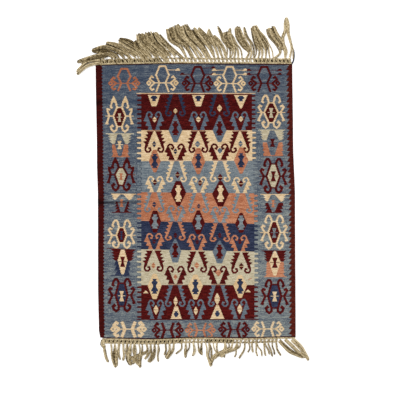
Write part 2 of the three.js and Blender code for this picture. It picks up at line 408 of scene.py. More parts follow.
# A row of hooks: the kind, its yarn, the edge that it stands on (how many bands lie above it), the
# places across the rug, its size along the warps and the yarn of the line at its foot.
hookRows = [
    (slimHangingHook, "darkBlue", 0, (-107, 118), 1.02, None),
    (slimRisingHook, "slateBlue", 1, (-217, 12, 222), 1.04, None),
    (hangingHook, "maroon", 1, (-214, 10, 222), 0.98, "rust"),
    (risingHook, "maroon", 2, (-105, 118), 0.92, "rust"),
    (slimHangingHook, "ivory", 2, (-101, 121), 0.95, None),
    (slimRisingHook, "ivory", 3, (-209, 12, 229), 0.89, None),
    (slimHangingHook, "greyBlue", 3, (-215, 12, 235), 0.9, None),
    (slimRisingHook, "greyBlue", 4, (-104, 120), 0.86, "slateBlue"),
    (slimHangingHook, "orange", 4, (-108, 120), 0.84, None),
    (slimRisingHook, "orange", 5, (-215, 2, 219), 0.9, None),
    (hangingHook, "maroon", 5, (-218, 4, 228), 0.96, "ivory"),
    (risingHook, "maroon", 6, (-106, 112), 1.02, "rust"),
    (slimHangingHook, "slateBlue", 6, (-108, 111), 0.98, None),
    (slimRisingHook, "slateBlue", 7, (-207, -2, 218), 1.1, None),
]

# How far a hook stands off its edge, with and without a line at its foot, and that line.
hookFoot = {"withLine": 5, "plain": 1, "lineAt": 2.5, "lineHalf": 36, "lineWidth": 3}

# Hexagons of one colour: yarn, motif's yarn, motif's size along the warps, and for each hexagon its
# x, top, widest place, bottom, half width, half top and half bottom.
hexagons = [
    ("slateBlue", "maroon", 0.95, [
        (-107, 441, 360, 299, 35, 3, 9), (118, 438, 360, 300, 35, 3, 9)]),
    ("orange", "navy", 0.95, [
        (-212, 260, 202, 146, 30, 10, 7), (10, 270, 200, 137, 35, 10, 7), (228, 274, 207, 139, 37, 8, 6)]),
    ("maroon", "ivory", 1.1, [(-92, 102, 43, -26, 40, 13, 8), (123, 102, 36, -28, 43, 8, 13)]),
    ("maroon", "greyBlue", 0.95, [
        (-211, -49, -104, -162, 31, 11, 9), (10, -48, -112, -170, 34, 8, 9),
        (228, -61, -117, -162, 31, 8, 9)]),
    ("slateBlue", "maroon", 0.95, [
        (-108, -191, -256, -314, 31, 3, 14), (118, -201, -258, -318, 36, 3, 13)]),
    ("cream", "navy", 1.0, [
        (-213, -371, -431, -500, 35, 9, 10), (-5, -375, -431, -502, 38, 9, 8),
        (223, -377, -429, -494, 35, 9, 8)]),
]

# Eyes of one colour: yarn, line's yarn, and for each eye its x, y, half width and half height.
eyes = [
    ("ivory", "maroon", [
        (-107, 459, 10, 13), (118, 473, 12, 17), (-213, 415, 10, 14), (10, 416, 12, 14),
        (227, 418, 11, 14)]),
    ("navy", "ivory", [(-215, 290, 10, 16)]),
    ("slateBlue", "ivory", [(6, 290, 13, 16), (225, 292, 11, 16)]),
    ("navy", "ivory", [(-107, 253, 9, 15)]),
    ("slateBlue", "navy", [(120, 257, 12, 15)]),
    ("maroon", "cream", [
        (-96, 133, 11, 18), (121, 120, 12, 19), (-212, 95, 10, 16), (19, 92, 11, 16), (227, 88, 12, 18)]),
    ("navy", "orange", [(-215, -18, 10, 15), (12, -26, 9, 12)]),
    ("slateBlue", "orange", [(-98, -65, 8, 10), (119, -62, 8, 11)]),
    ("maroon", "navy", [
        (-107, -175, 9, 14), (119, -175, 9, 14), (-215, -206, 9, 12), (4, -209, 9, 12),
        (222, -207, 9, 14)]),
    ("orange", "cream", [(-219, -329, 10, 15), (2, -328, 12, 16)]),
    ("maroon", "cream", [(229, -333, 12, 17)]),
    ("orange", "rust", [(-107, -387, 9, 13), (112, -366, 13, 18)]),
    ("ivory", "maroon", [
        (-106, -511, 10, 24), (106, -499, 13, 30), (-206, -555, 12, 24), (-3, -560, 10, 21),
        (221, -551, 12, 25)]),
]


def layBand(index):
    yarn, topLeft, topRight = bands[index]
    _, baseLeft, baseRight = bands[index + 1]
    left, right = field["left"], field["right"] + field["widening"][index]
    lay(yarn, [(left, topLeft), (right, topRight), (right, baseRight), (left, baseLeft)])
    half, slit = field["fingerWidth"] / 2, field["slitWidth"] / 2
    for side, edge, reach, top, base in (
        (-1, left, field["fingerLeft"], topLeft, baseLeft),
        (1, right, field["fingerRight"] + field["widening"][index], topRight, baseRight),
    ):
        root, tip = edge - side * field["fingerRoot"], reach - side * field["fingerPoint"]
        count = round((top - base) / field["fingerPitch"])
        for i in range(count):
            y = lerp(top, base, (i + field["fingerFrom"]) / count)
            lay(yarn, [(root, y + half), (tip, y + half * 0.9), (reach, y), (tip, y - half * 0.9),
                       (root, y - half)])
            # the shadow in the slits at both ends of the grey-blue band's left fingers, painted as bars of
            # dark yarn
            if yarn == "greyBlue" and side < 0:
                for x in (edge, reach):
                    lay("darkBlue", barOutline(x - slit, x + slit, y, half * 2 + 2))


def edgeAt(index, x):
    _, left, right = bands[index]
    return lerp(left, right, (x - field["left"]) / (field["right"] - field["left"]))


def layField():
    for i in range(len(bands) - 1):
        layBand(i)
    for hook, yarn, edge, places, size, lineYarn in hookRows:
        up = hook["up"]
        for x in places:
            foot = edgeAt(edge, x) + up * hookFoot["withLine" if lineYarn else "plain"]
            layHook(hook, yarn, placer(x, foot, 1, size))
            if lineYarn:
                lay(lineYarn, barOutline(x - hookFoot["lineHalf"], x + hookFoot["lineHalf"],
                                         foot - up * hookFoot["lineAt"], hookFoot["lineWidth"]))
    for *colours, places in hexagons:
        for place in places:
            layHexagon(*colours, *place)
    for *colours, places in eyes:
        for place in places:
            layEye(*colours, *place)


# The ivory half figures at the top and the base of the field

# A row of them: the edge it stands on and how far off that, the side it points to, the half profile
# of its navy motif, then each one's x, half widths at foot and tip, and height.
halfFigures = [
    (0, -6, -1, [(-4, 9), (-8, 12), (-12, 17), (-17, 18), (-21, 9), (-26, 8), (-32, 11)],
     [(-216, 31, 12, 58), (10, 32, 13, 58), (227, 34, 4, 68)]),
    (7, 0, 1, [(42, 10), (36, 5), (32, 12), (24, 12), (18, 8), (12, 5)],
     [(-103, 29, 8, 67), (107, 36, 6, 72)]),
]

# Odd small parts of the field: two ivory points, and an orange stitch at the right.
smallPoints = [(-258, -470, 14, 2, 13), (263, -465, 15, 2, 13)]
orangeStitch = {"path": [(264, -400), (282, -395)], "width": 4}


def layHalfFigures():
    for edge, off, up, motif, places in halfFigures:
        for x, wide, narrow, tall in places:
            foot = edgeAt(edge, x) + off
            lay("ivory", tapered(x, foot, wide, narrow, up * tall))
            lay("navy", placer(x, foot)(profileOutline(motif)))
    for point in smallPoints:
        lay("ivory", tapered(*point))
    lay("orange", strokeOutline(orangeStitch["path"], orangeStitch["width"]))
    left, right = field["fingerLeft"], field["fingerRight"]
    for yarn, end, y, width in (
        ("rust", field["right"], 546, 3),
        ("ivory", right, 549, 3.4),
        ("maroon", right + field["widening"][-1], edgeAt(7, 0) - 1, 5),
    ):
        lay(yarn, barOutline(left, end, y, width))


# The motifs down the side borders

medallion = {
    "horn": [(18, 76), (25, 86), (33, 86), (42, 72), (46, 56), (37, 49)],
    "tallHorn": [(19, 72), (30, 96), (40, 70), (44, 46), (36, 40)],
    "tallTip": [(19, 66), (30, 103), (44, 62), (31, 70)],
    "bottomHorn": [(16, -20), (28, -29), (40, -19), (45, -4), (37, 3), (31, -5)],
    "arm": [(46, 30), (58, 36), (64, 28), (55, 11), (47, 0), (57, -22), (65, -38), (55, -42)],
    "tallArm": [(47, 32), (61, 35), (61, 24), (54, 8), (55, -6), (60, -24), (66, -37), (56, -38)],
    "sideBar": (31, 72, 4),
    "armBar": (31, 49, 7),
    "glass": [(24, 13), (17, 11), (4, 6), (-6, 6), (-22, 12), (-28, 13)],
    "crossBar": 22,
    "crossWidth": 3,
}

# The stroke of a medallion's outline: the maroon ones are woven wider than the ivory ones.
outlineStroke = {"ivory": 9.8, "maroon": 12.6}

# A medallion: its place, whether its horns are the tall kind, their size, the core (heights of its
# top and base, half its width, half its top's width), the yarns of ring and core, and the glass, the
# small hourglass inside (yarn, sizes across and along, shift).
medallions = [
    ((-392, 433), True, 1.0, (41, -51, 27, 9), ("ivory", "maroon"), ("sage", 0.62, 0.82, -6)),
    ((-384, 134), True, 0.85, (33, -51, 26, 8), ("maroon", "sage"), ("orange", 0.7, 0.65, -8)),
    ((-382, -175), False, 0.88, (37, -36, 22, 9), ("ivory", "maroon"), ("navy", 0.5, 0.85, 1)),
    ((-381, -480), False, 0.95, (58, -53, 25, 11), ("maroon", "navy"), ("ivory", 0.85, 1.0, -3)),
    ((381, 451), False, 1.0, (47, -49, 31, 9), ("ivory", "maroon"), ("sage", 0.82, 0.95, 0)),
    ((392, 126), False, 1.02, (59, -55, 29, 9), ("maroon", "sage"), ("maroon", 1.0, 1.0, 2)),
    ((397, -161), False, 1.0, (54, -53, 27, 8), ("ivory", "maroon"), ("slate", 0.8, 0.95, 0)),
    ((399, -485), False, 0.95, (56, -57, 28, 13), ("maroon", "navy"), ("ivory", 0.92, 0.95, 0)),
]

# A pendant: its place, the yarns of its upper and lower half, the line at the end of each half (both
# ends' x, then their heights), the wings of the upper and then of the lower half, and the glass.
# A wing: outer and inner x at the top, the same at the bottom, top, bottom, teeth, their depth.
# The toothed side is the outer one; teeth are level on top, or below where their number is negative.
pendantLine = 4
pendants = [
    {"at": (-392, 285), "yarns": ("sage", "orange"), "lines": [(-70, 73, 58, 58), (-40, 52, -59, -59)],
     "wings": [(-50, -10, -35, -24, 58, 6, 4, 13), (51, 8, 41, 30, 58, 6, 4, 13),
               (-37, -24, -29, -6, 3, -58, -3, 8), (43, 24, 39, 10, 3, -58, -3, 9)],
     "glass": ("ivory", 0.85, 0.8, 2)},
    {"at": (-381, -12), "yarns": ("ivory", "maroon"), "lines": [(-54, 73, 48, 47), (-51, 51, -46, -46)],
     "wings": [(-44, -6, -35, -32, 47, 18, 3, 10), (59, 8, 39, 37, 46, 16, 3, 11),
               (-28, -22, -17, -6, 11, -45, -4, 19), (36, 30, 22, 11, 11, -45, -4, 19)],
     "glass": ("orange", 0.7, 0.75, 3)},
    {"at": (-376, -308), "yarns": ("maroon", "navy"), "lines": [(-81, 67, 67, 59), (-62, 49, -70, -76)],
     "wings": [(-47, -6, -39, -20, 63, 4, 4, 14), (52, 6, 43, 22, 59, 3, 4, 13),
               (-36, -14, -20, 0, 4, -70, -3, 22), (36, 14, 24, 2, 4, -72, -3, 15)],
     "diamond": [(60, 9), (6, 25), (-65, 7)], "glass": ("maroon", 0.95, 1.0, 0)},
    {"at": (388, 297), "yarns": ("sage", "orange"), "lines": [(-73, 64, 65, 65), (-45, 51, -66, -66)],
     "wings": [(-54, -13, -46, -30, 65, 13, 4, 12), (48, 8, 47, 33, 65, 13, 4, 12),
               (-49, -29, -39, -9, 2, -65, -3, 8), (51, 32, 45, 11, 2, -65, -3, 10)],
     "glass": ("maroon", 1.0, 0.8, 1)},
    {"at": (391, -13), "yarns": ("ivory", "maroon"), "lines": [(-64, 82, 47, 47), (-40, 40, -46, -46)],
     "wings": [(-43, -10, -33, -27, 46, 11, 3, 10), (57, 8, 43, 40, 46, 9, 3, 11),
               (-38, -25, -22, -4, 4, -45, -3, 17), (50, 28, 30, 6, 4, -45, -3, 19)],
     "glass": ("orange", 0.65, 0.72, 1)},
    {"at": (400, -313), "yarns": ("maroon", "orange"), "lines": [(-68, 60, 59, 59), (-55, 60, -73, -73)],
     "wings": [(-47, -8, -40, -24, 58, 4, 4, 13), (47, 8, 43, 26, 58, 4, 4, 12),
               (-40, -6, -41, 0, 3, -72, -4, 8), (44, 6, 41, 0, 3, -72, -4, 10)],
     "diamond": [(58, 4), (3, 29), (-68, 7)], "glass": ("maroon", 1.1, 1.0, 0)},
]


def layMedallion(at, tall, tip, core, yarnPair, glass):
    top, base, half, topHalf = core
    ringYarn, coreYarn = yarnPair
    stroke = outlineStroke[ringYarn]
    put = placer(*at)
    horn = [(topHalf + 4, top + 3)] + [(x, y * tip) for x, y in medallion["tallHorn" if tall else "horn"]]
    foot = [(topHalf + 3, base - 3)] + [(x, base + y) for x, y in medallion["bottomHorn"]]
    for path in (horn, foot, medallion["tallArm" if tall else "arm"]):
        for side in twin(path):
            lay(ringYarn, strokeOutline(put(side), stroke))
    if tall:
        for point in twin([(x, y * tip) for x, y in medallion["tallTip"]]):
            lay(ringYarn, put(point))
    for start, end, thick in (medallion["sideBar"], medallion["armBar"]):
        for side in (-1, 1):
            lay(ringYarn, put(sideBar(side, start, end, 0, thick)))
    # the ring shows all round the core, less at its blunt ends
    grow = stroke * 0.95
    endGrow, endHalf = grow * 0.6, topHalf + grow * 0.8
    ring = [(top + endGrow, endHalf), (0, half + grow), (base - endGrow, endHalf)]
    lay(ringYarn, put(profileOutline(ring)))
    lay(coreYarn, put(profileOutline([(top, topHalf), (0, half), (base, topHalf)])))
    layGlass(put, *glass)


def layGlass(put, yarn, sizeX, sizeY, shift):
    rows = [(y * sizeY + shift, half * sizeX) for y, half in medallion["glass"]]
    lay(yarn, put(profileOutline(rows)))
    reach = medallion["crossBar"] * sizeX
    lay(yarn, put(barOutline(-reach, reach, shift, medallion["crossWidth"])))


def wingOutline(outerTop, innerTop, outerBottom, innerBottom, top, bottom, teeth, depth):
    side = 1 if outerTop > innerTop else -1
    points = [(innerTop, top), (innerBottom, bottom)]
    count = abs(teeth)
    for i in range(count, 0, -1):
        low, high = lerp(top, bottom, i / count), lerp(top, bottom, (i - 1) / count)
        base, up = (lerp(outerTop, outerBottom, j / count) for j in (i, i - 1))
        if teeth > 0:
            points += [(base, low), (up + side * depth, high)]
        else:
            # the lower wings narrow downwards while the tips of their teeth stay in line
            points += [(base + side * depth * (0.3 + 0.7 * i / count), low), (up, high)]
    return points


def layPendant(pendant):
    put = placer(*pendant["at"])
    upper, lower = pendant["yarns"]
    for yarn, wing in zip((upper, upper, lower, lower), pendant["wings"]):
        lay(yarn, put(wingOutline(*wing)))
    for yarn, (start, end, startY, endY) in zip((upper, lower), pendant["lines"]):
        lay(yarn, strokeOutline(put([(start, startY), (end, endY)]), pendantLine))
    if "diamond" in pendant:
        lay("ivory", put(profileOutline(pendant["diamond"])))
    layGlass(put, *pendant["glass"])


# The figures of the end borders: whole ones at the top, half ones at the base

figure = {
    "body": [(-32, -46), (-15, 0), (-33, 40), (-15, 85), (15, 85), (33, 40), (15, 0), (32, -46)],
    "leg": [(30, 38), (16, 0), (30, -42)],
    "stroke": {"ivory": 8.6, "orange": 9.8, "maroon": 11.4},
    "bar": 46,
    "barWidth": 5,
    "upperHand": [(40, 0), (53, 10), (65, 21), (55, 34), (45, 26)],
    "lowerHand": [(40, 0), (54, -12), (63, -25), (54, -36), (42, -30)],
    "diamondAt": 69,
    "diamond": [(14, 3), (3, 13), (-3, 13), (-14, 3)],
    "dot": [(4, 1), (1, 4), (-4, 1)],
    "arrowLine": (26, 90),
    "arrowWidth": 3,
    "legShare": 1.15,      # stroke of the half figures' legs, as a share of their other strokes
    "arrowHead": [(64, -4), (92, -4), (84, 8), (74, 8)],
}

# A figure: yarn, x, y, size along, its arrows as side and height.
topFigures = [
    ("orange", -368, 600, 0.87, ()),
    ("ivory", -173, 602, 1.0, ((1, 66),)),
    ("maroon", 7, 600, 0.98, ((-1, 47), (1, 80), (1, 47))),
    ("ivory", 170, 599, 1.0, ((-1, 68), (-1, 46), (1, 68), (1, 46))),
    ("maroon", 346, 600, 0.98, ((-1, 68), (-1, 47), (1, 68), (1, 47))),
]

# A half figure: yarn, x, y, size across, weight of its strokes.
bottomFigures = [
    ("ivory", -346, -653, 1.14, 1.6),
    ("maroon", -146, -658, 1.0, 1.1),
    ("orange", 20, -659, 0.96, 0.9),
    ("maroon", 192, -655, 1.0, 1.05),
    ("ivory", 364, -652, 1.02, 1.1),
]


def layHands(yarn, put, weight):
    stroke = figure["stroke"][yarn] * weight
    for side in (-1, 1):
        for name in ("upperHand", "lowerHand"):
            path = [(side * x, y) for x, y in figure[name]]
            lay(yarn, strokeOutline(put(path), stroke))
        at = side * figure["diamondAt"]
        for part, colour in (("diamond", yarn), ("dot", "slate")):
            lay(colour, put([(at + x, y) for x, y in profileOutline(figure[part])]))
    lay(yarn, put(barOutline(-figure["bar"], figure["bar"], 0, figure["barWidth"])))


def layFigures():
    for yarn, x, y, tall, arrows in topFigures:
        put = placer(x, y, 1, tall)
        layHands(yarn, put, 1)
        lay(yarn, strokeOutline(put(figure["body"]), figure["stroke"][yarn]))
        start, end = figure["arrowLine"]
        for side, height in arrows:
            lay(yarn, put(sideBar(side, start, end, height, figure["arrowWidth"])))
            lay(yarn, put([(side * px, height + py) for px, py in figure["arrowHead"]]))
    for yarn, x, y, size, weight in bottomFigures:
        put = placer(x, y, size, 1)
        layHands(yarn, put, weight)
        for leg in twin(figure["leg"]):
            lay(yarn, strokeOutline(put(leg), figure["stroke"][yarn] * weight * figure["legShare"]))


# The selvedges, woven in maroon with a toothed inner edge, and the dark twined rows at both ends

# A selvedge: side, yarn, width at the near and the far end, the teeth's pitch, and the corners of a
# tooth as its depth and the share of the pitch.
selvedges = [
    (-1, "maroonSelvedge", 26, 31, 17.6, [(0, 0), (6, 0.5), (0, 0.92)]),
    (1, "russetSelvedge", 21, 18, 27.5, [(0, 0), (13, 0.78), (13, 0.88), (0, 0.96)]),
]
pastEdge = {"length": 20, "width": 40}  # mm that the selvedges reach past the cloth, which cuts them off
endRow = {"inward": 6, "outward": 5, "points": 26, "spread": 2}


def laySelvedges():
    half = cloth["length"] / 2 + pastEdge["length"]
    for side, yarn, near, far, pitch, tooth in selvedges:
        inner = []
        for i in range(int(2 * half / pitch)):
            y = half - i * pitch
            edge, _ = clothPoint(side * 0.5, shareOf(y, "length"))
            base = edge - side * lerp(near, far, y / cloth["length"] + 0.5)
            inner += [(base - side * deep, y - pitch * share) for deep, share in tooth]
        outside = side * (cloth["width"] / 2 + pastEdge["width"])
        lay(yarn, [(outside, half)] + inner + [(outside, inner[-1][1])])


def layEndRows():
    last = endRow["points"] - 1
    for side in (1, -1):
        outer, inner = [], []
        for i in range(last + 1):
            x, y = clothPoint(i / last - 0.5, side / 2)
            x += (i - last / 2) * endRow["spread"]
            outer.append((x, y + side * endRow["outward"]))
            inner.append((x, y - side * endRow["inward"]))
        lay("darkEndRow", outer + inner[::-1])


def layPattern():
    layField()
    layHalfFigures()
    for form in medallions:
        layMedallion(*form)
    for pendant in pendants:
        layPendant(pendant)
    layFigures()
    laySelvedges()
    layEndRows()


# Wool yarns. Dyed in small lots by hand, so each colour drifts from row to row (abrash).
# A yarn: the dark end, the middle and the light end of that drift, and how far whole rows drift.

yarns = {
    "slate": ("#343F51", "#5D656F", "#969B94", 1.0),
    "slateBlue": ("#424E5E", "#5A6572", "#7A8488", 0.6),
    "greyBlue": ("#515C68", "#737C81", "#989E9E", 0.8),
    "darkBlue": ("#1C2233", "#2B3247", "#424A5E", 0.5),
    "navy": ("#181E35", "#272D43", "#414961", 0.5),
    "maroon": ("#2D0405", "#480D0D", "#6A1D19", 0.4),
    "maroonSelvedge": ("#280505", "#3E0B09", "#54150F", 0.4),
    "russetSelvedge": ("#340C09", "#4B1712", "#692A1C", 0.4),
    "ivory": ("#B6986C", "#D9BC94", "#EED9B6", 0.4),
    "cream": ("#BC9B6C", "#D5B68B", "#E8CDA2", 0.4),
    "sage": ("#988C70", "#BDB194", "#D4CCB4", 0.5),
    "orange": ("#8F5439", "#B16F50", "#CD9372", 0.9),
    "rust": ("#7D4B3E", "#955F4E", "#AC7A64", 0.5),
    "darkEndRow": ("#1E080A", "#320C10", "#441518", 0.3),
}

weave = {
    "warpPitch": 5.0,      # mm; the real ribs are about 2.5 mm apart, drawn twice as coarse to show
    "pickPitch": 2.2,      # mm; the real wefts are about 1 mm, drawn as coarse as they need to show
    "ribHeight": 0.6,      # as a share of the height of the wefts
    "streakLong": 30.0,    # mm that one shade of weft runs before it changes
    "streakTall": 4.2,
    "streakShare": 1.55,
    "abrashLong": 420.0,
    "abrashTall": 26.0,    # mm of rows that one dye lot lasts
    "abrashShare": 0.9,
    "fleck": 5.5,
    "fleckShare": 1.4,
    "spread": 0.34,        # how far the sum of the three shares runs from dark to light
    "abrashSpread": 0.08,
    "fadeFar": -0.22,      # how much darker the ground is near the far end
    "fadeNear": 0.08,      # and how much lighter from below the middle on
    "farFrom": 0.62,       # m from the middle
    "nearFrom": -0.25,
    "fadeAcross": 0.15,
    "creaseShadeColour": "#3A322E",  # the colour that the painted crease shade takes the wool down to
}
matt = {"Roughness": 0.95, "Specular IOR Level": 0.08}  # wool scatters light and hardly shines


# Weft-faced wool weave: matt, ribbed along the warps, with streaks of lighter and darker yarn and painted
# shade along the creases.
def makeYarn(name):
    dark, middle, light, abrash = yarns[name]
    material, add = newMaterial(name + "Wool")
    place = add("TexCoord").outputs["Object"]

    def noiseAt(long, tall, detail):
        scaled = add("Mapping", {"Scale": (1 / (long * mm), 1 / (tall * mm), 1.0)}, {"Vector": place})
        grain = add("TexNoise", {"Scale": 1.0, "Detail": detail}, {"Vector": scaled.outputs["Vector"]})
        return grain.outputs["Fac"]

    streak = noiseAt(weave["streakLong"], weave["streakTall"], 2.0)
    lot = noiseAt(weave["abrashLong"], weave["abrashTall"], 3.0)
    fleck = noiseAt(weave["fleck"], weave["fleck"] * 0.6, 1.0)
    where = add("SeparateXYZ", links={"Vector": place})
    along = add("MapRange", {
        "From Min": weave["farFrom"], "From Max": weave["nearFrom"],
        "To Min": weave["fadeFar"] * abrash, "To Max": weave["fadeNear"] * abrash,
    }, {"Value": where.outputs["Y"]})
    lotShare = abrash * weave["abrashShare"]
    shade = add("Math", {"operation": "MULTIPLY", 1: lotShare}, {0: lot})
    for source, factor in (
        (streak, weave["streakShare"]),
        (fleck, weave["fleckShare"]),
        (along.outputs["Result"], 1.0),
        (where.outputs["X"], weave["fadeAcross"] * abrash),
    ):
        shade = add("Math", {"operation": "MULTIPLY_ADD", 1: factor}, {0: source, 2: shade.outputs[0]})
    middleShade = (lotShare + weave["streakShare"] + weave["fleckShare"]) / 2
    spread = weave["spread"] + weave["abrashSpread"] * abrash
    share = add("MapRange", {
        "From Min": middleShade - spread, "From Max": middleShade + spread,
    }, {"Value": shade.outputs[0]})
    ramp = add("ValToRGB", links={"Fac": share.outputs["Result"]})
    setStops(ramp, (dark, light), [(0.5, middle)])

    bandsPerMetre = 0.314 / mm  # the wave texture's scale for bands 1 mm apart
    rib = add("TexWave", {
        "bands_direction": "X", "Scale": bandsPerMetre / weave["warpPitch"], "Distortion": 0.6,
        "Detail": 1.0, "Detail Scale": 2.0,
    }, {"Vector": place})
    pick = add("TexWave", {
        "bands_direction": "Y", "Scale": bandsPerMetre / weave["pickPitch"], "Distortion": 1.2,
        "Detail": 1.0,
    }, {"Vector": place})
    relief = add("Math", {"operation": "MULTIPLY_ADD", 1: weave["ribHeight"]}, {
        0: rib.outputs["Fac"], 2: pick.outputs["Fac"],
    })
    fuzzy = add("Math", {"operation": "ADD"}, {0: relief.outputs[0], 1: fleck})
    bump = add("Bump", {"Strength": 0.55, "Distance": 0.7 * mm}, {"Height": fuzzy.outputs[0]})
    # painted shade: the wool is darkened along the creases, where their shadow falls
    fold = add("Attribute", {"attribute_name": "fold"})
    creaseShaded = add("Mix", {
        "data_type": "RGBA", "blend_type": "MULTIPLY", 7: toLinear(weave["creaseShadeColour"]),
    }, {0: fold.outputs["Fac"], 6: ramp.outputs["Color"]})
    finishMaterial(add, matt, {"Base Color": creaseShaded.outputs[2], "Normal": bump.outputs["Normal"]})
    return material


# The cloth's mesh: the pattern's polygons cut into one thin closed sheet

body = {
    "stepAcross": 3.4,     # colours change only between warps, so long slants are stepped
    "stepFrom": 22.0,      # mm of slant below which the rows blur the steps
    "snap": 0.25,
    "edgePoints": (25, 40),   # of the outline, across and along
    "grid": 20.0,
    "creaseGrid": 8.0,
    "creaseShadeGrid": 6,
    "creaseShadeRows": (-1.5, -0.9, -0.4, 0, 0.4, 0.9, 1.5),
    "ruffle": 0.7,         # mm that the cloth stands uneven on the floor
    "rimDrop": 0.7,
    "rimWidth": 2.4,
}


def stepped(points):
    # a slanting edge as the weaver makes it: up a few rows, then over two warps
    made = []
    for (ax, ay), (bx, by) in zip(points, points[1:] + points[:1]):
        made.append((ax, ay))
        count = round(abs(bx - ax) / body["stepAcross"])
        if count < 1 or abs(by - ay) < 2 or math.hypot(bx - ax, by - ay) < body["stepFrom"]:
            continue
        for i in range(count):
            x0, x1 = lerp(ax, bx, i / count), lerp(ax, bx, (i + 1) / count)
            y = lerp(ay, by, (i + 0.5) / count)
            made += [(x0, y), (x1, y)]
    return made


def snapped(points):
    grain = body["snap"]
    made = []
    for x, y in points:
        point = (round(x / grain) * grain, round(y / grain) * grain)
        if not made or made[-1] != point:
            made.append(point)
    if made[0] == made[-1]:
        made.pop()
    return made


def turnsAround(places, shape):
    # how often a closed shape runs round each place; nought is outside
    turns = np.zeros(len(places), int)
    ends = shape[1:] + shape[:1]
    for (ax, ay), (bx, by) in zip(shape, ends):
        side = (bx - ax) * (places[:, 1] - ay) - (by - ay) * (places[:, 0] - ax)
        turns += (ay <= places[:, 1]) & (by > places[:, 1]) & (side > 0)
        turns -= (ay > places[:, 1]) & (by <= places[:, 1]) & (side < 0)
    return turns


def yarnOfEach(middles, polygons):
    # the topmost polygon that covers each place, or -1 outside the cloth
    found = np.full(len(middles), -1)
    for number, (yarn, shape) in enumerate(polygons):
        corners = np.array(shape)
        low, high = corners.min(axis=0), corners.max(axis=0)
        near = np.nonzero(((middles > low) & (middles < high)).all(axis=1))[0]
        if number:
            near = near[found[near] >= 0]
        found[near[turnsAround(middles[near], shape) != 0]] = yarn
    return found


def outlinePoints():
    across, along = body["edgePoints"]
    ring = [clothPoint(i / across - 0.5, -0.5) for i in range(across)]
    ring += [clothPoint(0.5, j / along - 0.5) for j in range(along)]
    ring += [clothPoint(0.5 - i / across, 0.5) for i in range(across)]
    ring += [clothPoint(-0.5, 0.5 - j / along) for j in range(along)]
    return snapped(ring)


def insideOutline(x, y, margin):
    across, along = shareOf(x, "width"), shareOf(y, "length")
    left, _ = clothPoint(-0.5, along)
    right, _ = clothPoint(0.5, along)
    _, near = clothPoint(across, -0.5)
    _, far = clothPoint(across, 0.5)
    return left + margin < x < right - margin and near + margin < y < far - margin


def gridPoints():
    # points inside the cloth where it may bend, closer together along creases and the painted crease
    # shade; each is given with the distance that it keeps from the cloth's edge
    places = []
    step = body["grid"]
    halfX, halfY = cloth["width"] / 2 + step, cloth["length"] / 2 + step
    for i in range(int(2 * halfX / step)):
        places += [(-halfX + i * step, -halfY + j * step, 6) for j in range(int(2 * halfY / step))]
    step = body["creaseGrid"]
    for crease in creases:
        (fromX, fromY), (toX, toY) = crease["from"], crease["to"]
        low = min(fromY, toY) - crease["half"]
        high = max(fromY, toY) + crease["half"] + crease["bow"]
        for i in range(int((toX - fromX) / step)):
            x = fromX + i * step + 1.1
            places += [(x, low + j * step + 0.7, 3) for j in range(int((high - low) / step))]
    step = body["creaseShadeGrid"]
    for fold in creaseShades:
        fromX, toX = fold["from"][0], fold["to"][0]
        for i in range(int((toX - fromX) / step)):
            _, line = lineOf(fold, fromX + i * step)
            places += [(fromX + i * step + 0.3, line + off * fold["half"], 2) for off in body["creaseShadeRows"]]
    return [(x, y) for x, y, margin in places if insideOutline(x, y, margin)]


def ruffleAt(x, y):
    wave = noise.noise(Vector((x / 130, y / 90, 0.3))) + 0.4 * noise.noise(Vector((x / 45, y / 28, 7.1)))
    return body["ruffle"] * max(0.0, wave + 0.35)


def makeBody():
    layPattern()
    names = list(yarns)
    polygons = [(names.index("slate"), outlinePoints())]
    for yarn, points in ink:
        shape = snapped(stepped(points))
        if len(shape) > 2:
            polygons.append((names.index(yarn), shape))
    coords, edges = [], []
    for _, points in polygons:
        first, count = len(coords), len(points)
        edges += [(first + i, first + (i + 1) % count) for i in range(count)]
        coords += points
    coords = [Vector(point) for point in coords + gridPoints()]
    verts, _, triangles, *_ = delaunay_2d_cdt(coords, edges, [], 1, 1e-3, False)
    print("pattern cut:", len(polygons), "polygons,", len(verts), "points,", len(triangles), "triangles")

    plan = np.array([(v.x, v.y) for v in verts])
    tris = np.array(triangles)
    found = yarnOfEach(plan[tris].mean(axis=1), polygons)
    tris = tris[found >= 0]
    colours = found[found >= 0].tolist()
    used = np.unique(tris)
    renumber = np.full(len(plan), -1)
    renumber[used] = np.arange(len(used))
    plan, tris = plan[used], renumber[tris]
    a, b, c = (plan[tris[:, k]] for k in range(3))
    cross = (b - a)[:, 0] * (c - a)[:, 1] - (b - a)[:, 1] * (c - a)[:, 0]
    tris[cross < 0] = tris[cross < 0][:, ::-1]

    # the upper side, then the underside, then the rim between them
    count = len(plan)
    lift = np.array([liftAt(x, y) + ruffleAt(x, y) for x, y in plan])
    rimmed = np.array([not insideOutline(x, y, body["rimWidth"]) for x, y in plan])
    thick = np.where(rimmed, cloth["thickness"] - body["rimDrop"], cloth["thickness"])
    points = np.concatenate([np.column_stack([plan, lift + thick]), np.column_stack([plan, lift])]) * mm
    edgeYarn = {}
    for triangle, colour in zip(tris.tolist(), colours):
        for k in range(3):
            edgeYarn[(triangle[k], triangle[(k + 1) % 3])] = colour
    rim = [(a, b) for a, b in edgeYarn if (b, a) not in edgeYarn]
    faces = tris.tolist() + (tris[:, ::-1] + count).tolist()
    faces += [(b, a, a + count, b + count) for a, b in rim]

    mesh = bpy.data.meshes.new("kilimBody")
    mesh.from_pydata(points.tolist(), [], faces)
    for name in names:
        mesh.materials.append(makeYarn(name))
    mesh.polygons.foreach_set("material_index", colours * 2 + [edgeYarn[edge] for edge in rim])
    # the painted crease shade at each point, the same on the upper side and the underside
    shade = np.array([creaseShadeAt(x, y) for x, y in plan])
    mesh.attributes.new("fold", "FLOAT", "POINT").data.foreach_set("value", np.tile(shade, 2))
    addBakeMap(mesh, plan, len(tris))
    mesh.validate()
    mesh.update()
    print("cloth mesh:", len(mesh.vertices), "points,", len(mesh.polygons), "faces, rim", len(rim))
    return linked("kilimBody", mesh)


